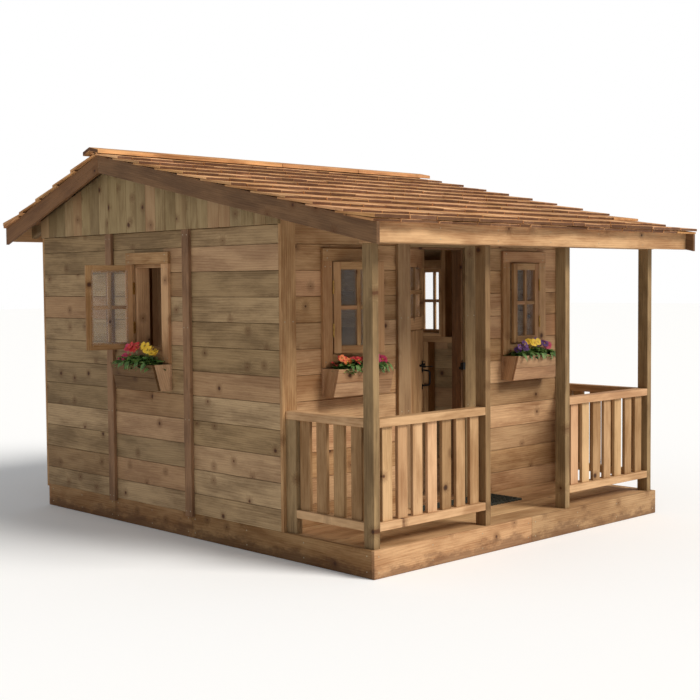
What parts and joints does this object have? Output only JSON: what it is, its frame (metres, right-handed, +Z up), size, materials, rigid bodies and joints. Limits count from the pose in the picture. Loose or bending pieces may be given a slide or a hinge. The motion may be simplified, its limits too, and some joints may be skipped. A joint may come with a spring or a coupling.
{
  "type": "playhouse",
  "caption": "Cedar playhouse with a covered porch, a Dutch door with a thumb latch, outward-opening windows, flower boxes and a shingled gable roof",
  "frame": {"origin": "The centre of the floor's footprint, on the ground.", "axes": "+X to the right along the porch as seen from in front of it, +Y from the porch to the rear wall, +Z up."},
  "size_m": [2.6972, 3.126, 2.0397],
  "materials": {
    "cedar": "unfinished cedar boards, rough sawn, with knots",
    "cedar_dark": "weathered cedar boards",
    "cedar_shingle": "sawn cedar shingles",
    "acrylic": "clear",
    "brass": "plated and slightly dulled",
    "black_iron": "black, satin",
    "mat_rubber": "matt",
    "soil": "loose and crumbly",
    "foliage": "green leaves with red, yellow, white and purple flowers"
  },
  "bodies": {
    "house": {"balusters": "cedar", "corner_boards": "cedar", "deck_boards": "cedar", "door_casing": "cedar", "door_jambs": "cedar", "door_mat": "mat_rubber", "door_stops": "cedar", "door_threshold": "cedar", "fascia_boards": "cedar", "floor_joists": "cedar", "flower_boxes": "cedar", "flower_plants": "foliage", "front_shingles": "cedar_shingle", "front_siding": "cedar", "gable_boards": "cedar", "gable_studs": "cedar", "ground_runners": "cedar", "hinge_frame_leaves": "brass", "hinge_pins": "brass", "latch_keeper": "black_iron", "left_siding": "cedar", "lookout_blocks": "cedar", "porch_posts": "cedar", "porch_rails": "cedar", "potting_soil": "soil", "rafters": "cedar", "rake_boards": "cedar_dark", "rear_shingles": "cedar_shingle", "rear_siding": "cedar", "ridge_cap": "cedar_shingle", "right_siding": "cedar", "roof_beams": "cedar", "roof_sheathing": "cedar", "skirt_boards": "cedar_dark", "wall_battens": "cedar", "wall_framing": "cedar", "window_casings": "cedar", "window_liners": "cedar"},
    "left_sash": {"left_sash": "cedar", "left_pane": "acrylic", "left_sash_hinge_leaves": "brass"},
    "right_sash": {"right_sash": "cedar", "right_pane": "acrylic", "right_sash_hinge_leaves": "brass"},
    "front_left_sash": {"front_left_sash": "cedar", "front_left_pane": "acrylic", "front_left_sash_hinge_leaves": "brass"},
    "front_right_sash": {"front_right_sash": "cedar", "front_right_pane": "acrylic", "front_right_sash_hinge_leaves": "brass"},
    "lower_door": {"lower_door_leaf": "cedar", "lower_door_hinge_leaves": "brass", "door_pull_handle": "black_iron", "latch_bar_mounts": "black_iron"},
    "upper_door": {"upper_door_leaf": "cedar", "upper_door_pane": "acrylic", "upper_door_hinge_leaves": "brass"},
    "thumb_lever": {"thumb_lever": "black_iron"},
    "latch_bar": {"latch_bar": "black_iron"}
  },
  "joints": [
    {"name": "left_window_swing", "type": "hinge", "parent": "house", "child": "left_sash", "pos_m": [-1.1436, 0.433, 1.185], "axis": [0, 0, -1], "range_deg": [-105, 65]},
    {"name": "right_window_swing", "type": "hinge", "parent": "house", "child": "right_sash", "pos_m": [1.1436, 0.433, 1.185], "axis": [0, 0, 1], "range_deg": [0, 170]},
    {"name": "front_left_window_swing", "type": "hinge", "parent": "house", "child": "front_left_sash", "pos_m": [-0.7885, -0.7711, 1.185], "axis": [0, 0, -1], "range_deg": [-30, 140]},
    {"name": "front_right_window_swing", "type": "hinge", "parent": "house", "child": "front_right_sash", "pos_m": [0.8435, -0.7711, 1.185], "axis": [0, 0, 1], "range_deg": [-5, 165]},
    {"name": "lower_door_swing", "type": "hinge", "parent": "house", "child": "lower_door", "pos_m": [-0.2305, -0.7115, 0.595], "axis": [0, 0, 1], "range_deg": [-32, 58]},
    {"name": "upper_door_swing", "type": "hinge", "parent": "house", "child": "upper_door", "pos_m": [-0.2305, -0.7115, 1.27], "axis": [0, 0, 1], "range_deg": [-31, 59]},
    {"name": "thumb_press", "type": "hinge", "parent": "lower_door", "child": "thumb_lever", "pos_m": [0.11147, -0.54262, 0.841], "axis": [0.848, 0.5299, 0], "range_deg": [0, 20]},
    {"name": "latch_lift", "type": "hinge", "parent": "lower_door", "child": "latch_bar", "pos_m": [0.04363, -0.57558, 0.851], "axis": [0.5299, -0.848, 0], "range_deg": [0, 2.67]}
  ],
  "couplings": [
    {"joint": "latch_lift", "follows": "thumb_press", "ratio": 0.13334}
  ]
}
